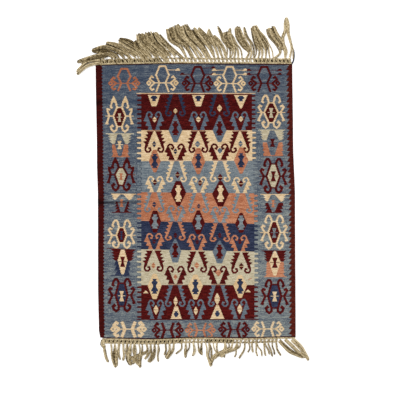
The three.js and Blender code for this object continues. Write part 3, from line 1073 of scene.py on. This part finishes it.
# Where the bake map holds the cloth: the left side and the width of the parts for its upper side,
# its underside and its rim, whose faces stand one above the other, and the border left free.
bakeMap = {"upper": (0.003, 0.66), "under": (0.685, 0.31), "rim": (0.67, 0.01), "border": 0.005}


def addBakeMap(mesh, plan, faceCount):
    low, high = plan.min(axis=0), plan.max(axis=0)
    shares = (plan - low) / (high - low)
    layer = mesh.uv_layers.new(name="OFBake")
    rimLeft, rimWidth = bakeMap["rim"]
    border, inner = bakeMap["border"], 1 - 2 * bakeMap["border"]
    rimTotal = max(len(mesh.polygons) - 2 * faceCount, 1)
    for polygon in mesh.polygons:
        number = polygon.index - 2 * faceCount
        if number >= 0:
            bottom, top = (border + inner * (number + part) / rimTotal for part in (0, 0.8))
            rimRight = rimLeft + rimWidth
            places = [(rimLeft, top), (rimLeft, bottom), (rimRight, bottom), (rimRight, top)]
        else:
            left, width = bakeMap["upper" if polygon.index < faceCount else "under"]
            corners = [shares[corner % len(plan)] for corner in polygon.vertices]
            places = [(left + u * width, border + v * inner) for u, v in corners]
        for loop, place in zip(polygon.loop_indices, places):
            layer.data[loop].uv = place


kilim = makeBody()


# The fringes: plied wool cords in numpy, joined into one mesh for each end

heading = {
    "knotPitch": 20.0,
    "band": 6.5,           # mm from the cloth's edge to the openings
    "lean": -5,
    "toneAcross": 0.0003,  # how the tone changes with each mm across
    "twine": {"at": [(1.6, 2.1, 0.8), (4.8, 2.3, 0.95)], "step": 3.2, "height": 3.0, "twist": 8.0},
    # flattened dark yarn under the openings, its darkness painted shade
    "under": {"pitch": 3.0, "step": 8.0, "height": 0.9, "radius": 1.9, "tone": -0.45, "flat": 0.4},
    # the two cords that run from the band to a knot
    "legs": {"feet": (-0.2, 0.22), "narrow": 0.7, "height": 2.8, "radius": 2.8, "tone": 0.72},
    # the slanting turns of the row of knots
    "wrap": {"half": 3.0, "lean": -4.0, "height": 4.6, "fall": 2.4, "radius": 2.4,
             "tones": (0.95, 0.7, 0.3)},
}

# The far end (1) and the near end (-1): where the row of knots and the twined band run, how far the
# middle of the knots lies from the cloth's edge, and the stretches where dark yarn under the openings
# paints their shade.
endOf = {
    1: {"from": -512, "to": 490, "bandTo": 492, "rail": 24, "dark": [(-512, -190), (290, 490)]},
    -1: {"from": -480, "to": 421, "bandTo": 504, "rail": 21, "dark": [(-480, -60), (40, 196)]},
}

cord = {
    "sides": 6,
    "lobe": 0.28,
    "twist": 15.0,         # mm for one turn of the two plies
    "step": 3.1,
    "radius": 3.6,
    "layerRise": 4.2,
    "plyShadeAndHighlight": 0.58,      # how much painted shade darkens the hollow between the plies, and painted highlight lightens their crests
    "sunkPaintedShade": 0.6,      # and how much painted shade darkens every fourth cord of a thick lock, which lies deeper
}

# A lock: where its cords leave the knots (from, to), their number, and the places it runs through
# as x, y and width.
farLocks = [
    (-505, -425, 6, [(-490, 735, 30), (-540, 724, 20), (-588, 700, 10)]),
    (-450, -372, 7, [(-435, 741, 32), (-520, 734, 20), (-609, 707, 15)]),
    (-408, -338, 8, [(-408, 756, 40), (-476, 772, 46), (-535, 767, 14)]),
    (-345, -280, 9, [(-352, 756, 40), (-412, 786, 44), (-463, 806, 18)]),
    (-290, -222, 9, [(-292, 760, 44), (-350, 800, 46), (-398, 822, 24)]),
    (-262, -204, 6, [(-266, 760, 56), (-306, 796, 44), (-318, 818, 22)]),
    (-238, -186, 8, [(-246, 772, 50), (-281, 815, 42), (-290, 857, 30)]),
    (-176, -104, 7, [(-192, 764, 66), (-238, 800, 56), (-262, 832, 36)]),
    (-192, -142, 9, [(-198, 772, 50), (-242, 818, 50), (-255, 863, 42)]),
    (-148, -94, 9, [(-152, 770, 46), (-196, 812, 52), (-222, 860, 42)]),
    (-78, -52, 4, [(-108, 764, 20), (-156, 802, 26), (-196, 850, 22)]),
    (-58, -12, 7, [(-70, 786, 42), (-124, 836, 56), (-143, 885, 36)]),
    (-12, 36, 8, [(-31, 790, 46), (-84, 842, 60), (-108, 901, 44)]),
    (28, 74, 8, [(8, 792, 46), (-42, 842, 58), (-66, 902, 38)]),
    (62, 108, 7, [(50, 784, 42), (10, 828, 50), (-22, 880, 38)]),
    (96, 124, 4, [(90, 780, 30), (48, 833, 28), (8, 883, 13)]),
    (114, 146, 4, [(108, 778, 28), (84, 820, 34), (66, 852, 26), (63, 881, 5)]),
    (134, 172, 4, [(133, 780, 34), (102, 818, 32), (82, 844, 20)]),
    (160, 186, 3, [(168, 778, 20), (140, 820, 20), (122, 860, 16), (108, 894, 5)]),
    (178, 236, 8, [(204, 768, 44), (178, 800, 50), (156, 838, 56), (156, 866, 34)]),
    (194, 212, 3, [(199, 775, 16), (181, 815, 22), (170, 850, 20), (171, 884, 8)]),
    (250, 286, 6, [(276, 756, 26), (252, 790, 36), (222, 836, 38), (207, 891, 26)]),
    (284, 296, 2, [(290, 765, 10), (277, 805, 12), (254, 842, 14), (241, 888, 4)]),
    (296, 398, 10, [(346, 762, 84), (320, 824, 64), (304, 858, 44), (290, 894, 30)]),
    (396, 408, 3, [(430, 756, 12), (421, 790, 28), (378, 850, 36), (362, 884, 22)]),
    (450, 466, 6, [(458, 764, 20), (436, 792, 34), (402, 836, 48), (378, 890, 42)]),
    (456, 462, 3, [(447, 800, 7), (441, 832, 9), (452, 868, 14), (452, 900, 14), (458, 938, 8)]),
    (484, 490, 3, [(489, 772, 6), (478, 818, 7), (467, 868, 14), (466, 900, 14), (460, 938, 8)]),
]

nearLocks = [
    (-476, -462, 3, [(-467, -750, 12), (-461, -793, 14), (-448, -824, 5)]),
    (-432, -390, 7, [(-414, -758, 42), (-418, -800, 34), (-410, -849, 12)]),
    (-398, -394, 1, [(-395, -780, 2), (-388, -813, 2)]),
    (-369, -365, 2, [(-367, -765, 4), (-370, -797, 8), (-376, -816, 3)]),
    (-346, -330, 4, [(-340, -765, 17), (-346, -805, 22), (-333, -840, 14)]),
    (-309, -303, 2, [(-306, -770, 7), (-319, -808, 14), (-322, -834, 8)]),
    (-284, -278, 3, [(-279, -762, 8), (-290, -806, 18), (-287, -850, 9)]),
    (-256, -250, 3, [(-252, -764, 9), (-288, -784, 14), (-344, -806, 14)]),
    (-342, -338, 3, [(-348, -782, 8), (-316, -808, 14), (-284, -844, 10)]),
    (-322, -312, 2, [(-320, -776, 10), (-306, -812, 16), (-300, -834, 10)]),
    (-248, -234, 2, [(-241, -765, 13), (-250, -790, 8), (-264, -807, 4)]),
    (-228, -200, 5, [(-215, -763, 28), (-226, -795, 22), (-246, -824, 13)]),
    (-200, -184, 3, [(-191, -758, 14), (-197, -790, 7), (-194, -824, 4)]),
    (-156, -152, 1, [(-155, -758, 2), (-165, -789, 2)]),
    (-137, -102, 5, [(-125, -755, 32), (-138, -780, 22), (-156, -806, 16)]),
    (-75, -71, 1, [(-77, -752, 2), (-107, -781, 2)]),
    (-59, -33, 4, [(-48, -750, 24), (-56, -770, 14), (-56, -801, 4)]),
    (-9, 1, 2, [(-7, -750, 8), (-11, -768, 8), (-20, -792, 4)]),
    (15, 37, 4, [(24, -748, 22), (21, -766, 20), (31, -785, 5)]),
    (56, 66, 3, [(61, -755, 9), (60, -792, 14), (67, -818, 12), (74, -846, 5)]),
    (77, 79, 1, [(80, -752, 2), (77, -790, 3), (76, -842, 3)]),
    (170, 206, 5, [(178, -750, 30), (130, -773, 24), (88, -796, 18), (72, -832, 9)]),
    (215, 222, 3, [(217, -741, 8), (200, -753, 10), (146, -770, 10), (88, -792, 9)]),
    (97, 107, 3, [(101, -755, 12), (107, -782, 16), (90, -806, 12)]),
    (140, 162, 4, [(150, -750, 20), (136, -780, 16), (122, -798, 10)]),
    (139, 141, 1, [(141, -765, 2), (143, -803, 2)]),
    (199, 203, 1, [(202, -758, 2), (204, -772, 3), (193, -799, 2)]),
    (245, 249, 1, [(245, -750, 2), (239, -764, 3), (215, -806, 2)]),
    (276, 278, 1, [(276, -750, 2), (260, -774, 2)]),
    (279, 281, 1, [(283, -758, 2), (288, -774, 2)]),
    (300, 304, 1, [(302, -745, 3), (304, -765, 4), (313, -794, 2)]),
    (316, 320, 1, [(322, -745, 2), (328, -762, 2), (334, -792, 2)]),
    (341, 345, 1, [(344, -745, 3), (347, -765, 3), (354, -792, 2)]),
    (356, 358, 1, [(362, -745, 2), (368, -765, 2), (372, -785, 2)]),
    (366, 370, 1, [(373, -745, 3), (380, -765, 3), (388, -794, 2)]),
    (382, 384, 1, [(388, -745, 2), (394, -762, 2), (399, -785, 2)]),
    (403, 405, 1, [(409, -745, 2), (417, -765, 2), (431, -790, 2)]),
]

# The corner bundles leave the cloth's edge itself, without a knot: start x, y and width first.
cornerBundles = {
    1: [
        (4, [(-490, 706, 16), (-556, 690, 14), (-611, 646, 12)]),
        (3, [(-490, 718, 10), (-556, 708, 10), (-613, 658, 9)]),
    ],
    -1: [
        (4, [(-477, -708, 16), (-480, -728, 18), (-466, -750, 12)]),
        (4, [(422, -711, 18), (474, -762, 20), (546, -799, 9)]),
        (3, [(452, -705, 16), (504, -755, 16), (558, -800, 9)]),
        (4, [(488, -704, 26), (534, -751, 20), (574, -815, 9)]),
    ],
}


def headingPoint(side, x, out):
    _, y = clothPoint(shareOf(x, "width"), side / 2)
    return x, y + side * (cloth["pieceGap"] + out)


class YarnMesh:
    def __init__(self):
        self.points, self.faces, self.tones, self.count = [], [], [], 0

    def addCord(self, path, radii, tone, twist=None, phase=0.0, sides=None, flat=1.0):
        path = np.asarray(path, float)
        radii = np.broadcast_to(np.asarray(radii, float), len(path))
        sides, twist = sides or cord["sides"], twist or cord["twist"]
        tangent = np.gradient(path, axis=0)
        tangent /= np.linalg.norm(tangent, axis=1)[:, None] + 1e-9
        beside = np.cross(tangent, (0.0, 0.0, 1.0))
        beside /= np.linalg.norm(beside, axis=1)[:, None] + 1e-9
        above = np.cross(beside, tangent)
        along = np.concatenate([[0], np.cumsum(stretches(path))])
        angle = np.arange(sides) * 2 * math.pi / sides
        turn = 2 * math.pi * along / twist + phase
        ridge = np.cos(2 * (angle[None, :] - turn[:, None]))
        reach = radii[:, None] * (1 + cord["lobe"] * ridge)
        ring = (path[:, None, :] + beside[:, None, :] * (reach * np.cos(angle))[:, :, None]
                + above[:, None, :] * (reach * np.sin(angle) * flat)[:, :, None])
        start, rings = self.count, len(path)
        self.points.append(ring.reshape(-1, 3))
        tone = np.broadcast_to(np.asarray(tone, float), rings)[:, None]
        # painted shade in the hollows between the plies and painted highlight on their crests
        self.tones.append(np.clip(tone + cord["plyShadeAndHighlight"] * ridge, -0.2, 1).reshape(-1))
        for i in range(rings - 1):
            row = start + i * sides
            for k in range(sides):
                a, b = row + k, row + (k + 1) % sides
                self.faces.append((a, a + sides, b + sides, b))
        lastRow = start + (rings - 1) * sides
        self.faces += [tuple(range(start, start + sides)), tuple(range(lastRow, lastRow + sides))[::-1]]
        self.count += rings * sides

    def build(self, name, material):
        points = np.concatenate(self.points)
        points[:, 2] = np.maximum(points[:, 2], 0.15)
        mesh = bpy.data.meshes.new(name)
        mesh.from_pydata((points * mm).tolist(), [], self.faces)
        tone = mesh.attributes.new("tone", "FLOAT", "POINT")
        tone.data.foreach_set("value", np.concatenate(self.tones))
        mesh.polygons.foreach_set("use_smooth", [True] * len(mesh.polygons))
        mesh.materials.append(material)
        mesh.update()
        print(name + ":", len(mesh.vertices), "points,", len(mesh.polygons), "faces")
        return linked(name, mesh)


def stretches(points):
    # the distance from each point to the next
    return np.linalg.norm(np.diff(points, axis=0), axis=1)


def smoothPath(places, steps):
    # a curve through all the places, closer to the chord where they are near each other
    places = np.asarray(places, float)
    reach = stretches(places[:, :2])
    at = np.concatenate([[0], np.cumsum(reach)]) / reach.sum()
    slope = np.gradient(places, at, axis=0)
    run = np.linspace(0, 1, steps)
    part = np.clip(np.searchsorted(at, run, side="right") - 1, 0, len(at) - 2)
    span = (at[part + 1] - at[part])[:, None]
    share = (run - at[part])[:, None] / span
    rise = share * share * (3 - 2 * share)
    return (places[part] * (1 - rise) + places[part + 1] * rise
            + span * slope[part] * share * (1 - share) ** 2
            - span * slope[part + 1] * share * share * (1 - share))


def toneAt(side, x):
    # the long fringe is lighter towards its right end, the short one is the lighter of the two
    return 0.00048 * x if side > 0 else 0.15 + 0.0002 * x


def addHeading(yarn, side, dice):
    end = endOf[side]
    low, high, rail, pitch = end["from"], end["to"], end["rail"], heading["knotPitch"]
    twine, under, legs = heading["twine"], heading["under"], heading["legs"]
    xs = np.arange(low, end["bandTo"], twine["step"])
    for out, radius, tone in twine["at"]:
        path = [(*headingPoint(side, x, out), twine["height"] + 0.2 * math.sin(x / 23)) for x in xs]
        yarn.addCord(path, radius, tone, twist=twine["twist"], phase=out)
    # painted shade: dark flattened yarn under the openings
    for start, stop in end["dark"]:
        xs = np.arange(start, stop, under["step"])
        for out in np.arange(heading["band"] + 2, rail - 3, under["pitch"]):
            path = [(*headingPoint(side, x, out), under["height"]) for x in xs]
            yarn.addCord(path, under["radius"], under["tone"], twist=30, sides=5, flat=under["flat"])
    share = np.linspace(0, 1, 7)[:, None]
    height = legs["height"] + np.sin(share * math.pi / 2)
    for i in range(int((high - low) / pitch)):
        x = low + (i + 0.5) * pitch + dice.uniform(-1.5, 1.5)
        for foot in legs["feet"]:
            start = np.array(headingPoint(side, x + foot * pitch, heading["band"] - 2))
            stopX = x + heading["lean"] + foot * pitch * legs["narrow"]
            stop = np.array(headingPoint(side, stopX, rail - 1))
            path = np.hstack([(1 - share) * start + share * stop, height])
            tone = legs["tone"] + dice.uniform(-0.14, 0.14) + heading["toneAcross"] * x * side
            yarn.addCord(path, legs["radius"], tone, phase=dice.uniform(0, 6))
        for turn in (-1, 0, 1):
            addWrap(yarn, side, x + heading["lean"] * 1.5 + turn * pitch / 3, dice)


def addWrap(yarn, side, x, dice):
    wrap = heading["wrap"]
    run = np.linspace(-1, 1, 7)
    outs = endOf[side]["rail"] + run * wrap["half"] + dice.uniform(-0.8, 0.8)
    path = [(*headingPoint(side, x + wrap["lean"] * t, out), wrap["height"] - wrap["fall"] * t * t)
            for t, out in zip(run, outs)]
    tone = dice.choice(wrap["tones"]) + dice.uniform(-0.1, 0.1) + heading["toneAcross"] * x * side
    yarn.addCord(path, wrap["radius"], tone, twist=12, phase=dice.uniform(0, 6))


def knotNear(side, x):
    # the middle of the knot that a cord comes out of
    low, pitch = endOf[side]["from"], heading["knotPitch"]
    return low + (math.floor((x - low) / pitch) + 0.5) * pitch + heading["lean"]


lock = {
    "stray": 0.12,         # how far a cord strays on its way, as a share of the lock's width
    "follow": 0.4,         # how much of the way to its knot a cord still has at the lock's next place
    "cutOff": (5, 16),     # mm that the ends differ in length, by chance and towards the sides
    "wave": (0.6, 2.0),
    "waveLong": (11, 17),
    "loneRadius": 1.18,    # thicker where there are only one or two cords
    "bounce": 0.7,
    "taper": ([0, 0.12, 0.8, 0.95, 1], [0.75, 0.95, 1.1, 1.1, 0.65]),
    "tone": 0.41,
    "layerPaintedLight": 0.12,     # painted light: lighter for each layer up, so the lower cords are in painted shade
    "contrast": 0.38,
    "cornerContrast": 0.62,
    "fade": ([0, 0.3, 1], [0.22, 0.0, -0.05]),  # lighter at the knot
    "sunkFrom": ([0.15, 0.4], [0, 1]),
}

# The lowest cords of a thick lock, dark with painted shade where the ones above would shade them
shadedLowCords = {
    "pitch": 6.0,
    "spread": 0.86,
    "height": 2.1,
    "radius": 2.9,
    "thin": ([0, 0.2, 1], [0.4, 1, 1]),
    "tone": (-0.1, 0.15),
    "fade": ([0, 0.25, 1], [0.3, 0, 0]),
}


def addLock(yarn, side, places, count, dice, knotted=True):
    # cords side by side over the width, every other one on top of its neighbours
    places = np.asarray(places, float)
    ahead = np.gradient(places[:, :2], axis=0)
    ahead /= np.linalg.norm(ahead, axis=1)[:, None]
    across = np.column_stack([ahead[:, 1], -ahead[:, 0]])
    if across[0, 0] < 0:
        across = -across
    total = stretches(places[:, :2]).sum()
    steps = max(9, int(total / cord["step"]))
    run = np.linspace(0, 1, steps)
    arch = np.sin(np.clip(run * 1.1, 0, 1) * math.pi) ** 0.6
    ragged, rounded = lock["cutOff"]
    contrast = lock["contrast" if knotted else "cornerContrast"]
    for i in range(count):
        share = (i + 0.5) / count - 0.5
        spots = places.copy()
        shift = share + dice.uniform(-lock["stray"], lock["stray"]) * np.linspace(0, 1, len(places))
        spots[:, :2] += across * (shift * places[:, 2])[:, None]
        if knotted:
            knotX = knotNear(side, spots[0, 0])
            spots[0, 0] = knotX + dice.uniform(-3, 3)
            toKnot = spots[1, 0] + knotX - places[0, 0] - share * places[0, 2]
            spots[1, 0] = lerp(spots[1, 0], toKnot, lock["follow"])
        spots[-1, :2] -= ahead[-1] * (dice.uniform(0, ragged) + rounded * share ** 2)
        path = smoothPath(spots, steps)
        wave = dice.uniform(*lock["wave"]) * np.sin(run * total / dice.uniform(*lock["waveLong"])
                                                    + dice.uniform(0, 6))
        path[:, 0] += wave * across[0, 0] * np.sin(run * 3.1)
        radius = cord["radius"] * dice.uniform(0.85, 1.15) * (lock["loneRadius"] if count < 3 else 1)
        layer = (i % 2) * min(count - 1, 1) + (i % 3 == 1) * 0.5
        sunk = count > 4 and i % 4 == 3 and i < count - 1
        height = radius + 0.4 + (0 if sunk else layer) * cord["layerRise"] * arch
        bounce = np.sin(run * total / dice.uniform(8, 15) + dice.uniform(0, 6))
        path[:, 2] = height + lock["bounce"] * bounce * arch
        tone = lock["tone"] + lock["layerPaintedLight"] * layer + dice.uniform(-contrast, contrast)
        tones = tone + np.interp(run, *lock["fade"]) + toneAt(side, places[0, 0])
        # painted shade on a sunk cord, from a little way past the knot on
        if sunk:
            tones = tones - cord["sunkPaintedShade"] * np.interp(run, *lock["sunkFrom"])
        radii = radius * np.interp(run, *lock["taper"])
        yarn.addCord(path, radii, tones, phase=dice.uniform(0, 6))
    if count > 3:
        addShadedLowCords(yarn, places[1:], across[1:], dice)


def addShadedLowCords(yarn, places, across, dice):
    count = int(places[:, 2].max() / shadedLowCords["pitch"])
    steps = max(6, int(stretches(places[:, :2]).sum() / 6))
    run = np.linspace(0, 1, steps)
    for i in range(count):
        share = (i + 0.5) / count - 0.5
        spots = places.copy()
        spots[:, :2] += across * (share * shadedLowCords["spread"] * places[:, 2])[:, None]
        spots[0, :2] = lerp(spots[0, :2], spots[1, :2], 0.2)
        spots[-1, :2] = lerp(spots[-2, :2], spots[-1, :2], 0.86 - 1.2 * share ** 2)
        path = smoothPath(spots, steps)
        path[:, 2] = shadedLowCords["height"]
        # their darkness is painted shade, lighter at the start so no dark ends show
        tones = dice.uniform(*shadedLowCords["tone"]) + np.interp(run, *shadedLowCords["fade"])
        radii = shadedLowCords["radius"] * np.interp(run, *shadedLowCords["thin"])
        yarn.addCord(path, radii, tones, twist=24, sides=5, flat=0.7)


# Undyed wool warp ends, plied and matt: tan, with painted shade in the hollows between the plies and
# painted highlight on their crests.
def makeWarpWool():
    material, add = newMaterial("undyedPliedWool")
    place = add("TexCoord").outputs["Object"]
    tone = add("Attribute", {"attribute_name": "tone"})
    blotch = add("TexNoise", {"Scale": 120.0, "Detail": 2.0}, {"Vector": place})
    mixed = add("Math", {"operation": "MULTIPLY_ADD", 1: 1.7}, {
        0: blotch.outputs["Fac"], 2: tone.outputs["Fac"],
    })
    share = add("MapRange", {"From Min": 0.78, "From Max": 1.85}, {"Value": mixed.outputs[0]})
    ramp = add("ValToRGB", links={"Fac": share.outputs["Result"]})
    setStops(ramp, ("#241A0D", "#DCCBA6"), [(0.28, "#6A5939"), (0.6, "#A8956E")])
    fibre = add("TexNoise", {"Scale": 700.0, "Detail": 2.0}, {"Vector": place})
    bump = add("Bump", {"Strength": 0.4, "Distance": 0.5 * mm}, {"Height": fibre.outputs["Fac"]})
    finishMaterial(add, matt, {"Base Color": ramp.outputs["Color"], "Normal": bump.outputs["Normal"]})
    return material


warpWool = makeWarpWool()


def makeFringe(name, side, table, seed):
    dice = random.Random(seed)
    yarn = YarnMesh()
    addHeading(yarn, side, dice)
    for rootFrom, rootTo, count, places in table:
        root = (*headingPoint(side, (rootFrom + rootTo) / 2, endOf[side]["rail"]), rootTo - rootFrom)
        addLock(yarn, side, [root] + places, count, dice)
    for count, places in cornerBundles[side]:
        addLock(yarn, side, places, count, dice, knotted=False)
    return yarn.build(name, warpWool)


longFringe = makeFringe("longFringe", 1, farLocks, 11)
shortFringe = makeFringe("shortFringe", -1, nearLocks, 23)


# The loose end of a navy weft at the corner of the long fringe

navyEnd = {
    "places": [(487, 700), (493, 712), (497, 728), (498, 746), (495, 773)],
    "heights": ([0, 0.12, 0.4, 1], [4.6, 4.4, 2.4, 2.4]),  # shares of the way along, and mm there
    "steps": 30,
    "radius": 3.3,
    "twist": 9.0,
    "tone": 0.35,
}


def makeNavyEnd():
    # Dyed navy wool, plied and matt: nearly black in its hollows, which is painted shade.
    material, add = newMaterial("navyPliedWool")
    tone = add("Attribute", {"attribute_name": "tone"})
    ramp = add("ValToRGB", links={"Fac": tone.outputs["Fac"]})
    setStops(ramp, ("#070A18", "#232C4C"))
    finishMaterial(add, matt, {"Base Color": ramp.outputs["Color"]})

    yarn = YarnMesh()
    steps = navyEnd["steps"]
    path = smoothPath([(x, y, 0) for x, y in navyEnd["places"]], steps)
    path[:, 2] = np.interp(np.linspace(0, 1, steps), *navyEnd["heights"])
    yarn.addCord(path, navyEnd["radius"], navyEnd["tone"], twist=navyEnd["twist"])
    return yarn.build("navyYarnEnd", material)


navyYarnEnd = makeNavyEnd()


# Riding and replacing

for piece, node, slot in (
    (kilim, "woven_body", "woven_wool"),
    (longFringe, "fringe_top", "warp_fringe"),
    (shortFringe, "fringe_bottom", "warp_fringe"),
    (navyYarnEnd, None, "woven_wool"),
):
    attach(piece, "root")
    if node:
        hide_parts(node)
